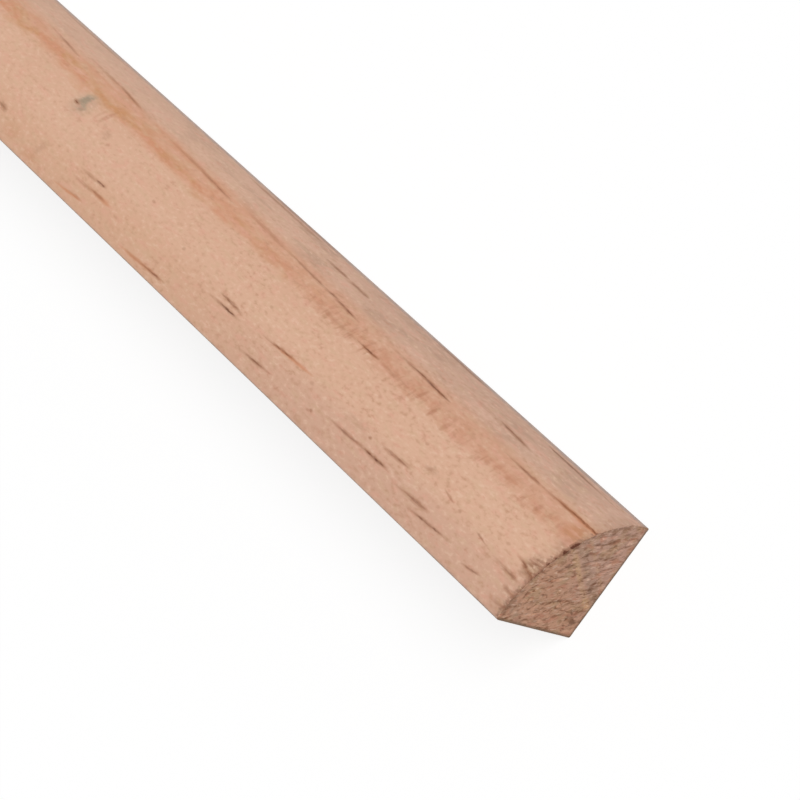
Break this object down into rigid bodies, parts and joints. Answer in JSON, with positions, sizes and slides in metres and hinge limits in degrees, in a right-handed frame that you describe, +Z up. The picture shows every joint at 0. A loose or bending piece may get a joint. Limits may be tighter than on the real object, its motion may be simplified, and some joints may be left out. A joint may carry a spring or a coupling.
{
  "type": "quarter round moulding",
  "caption": "Straight length of planed softwood moulding with a quadrant section: two flat faces at a right angle and a quarter-circle front, for covering an inside corner.",
  "frame": {"origin": "middle of the bottom flat face, half way along the length", "axes": "+X along the grain; +Y to the back, out of the upright flat face, so that the round faces -Y and up; +Z up out of the floor. The end that the picture shows is at -X."},
  "size_m": [2.44, 0.019, 0.019],
  "materials": {
    "bare_softwood": "bare planed softwood, unsealed and matt, with growth rings, brown resin flecks along the grain and rough sawn ends"
  },
  "bodies": {
    "root": {"quarter_round_moulding": "bare_softwood"}
  },
  "joints": []
}
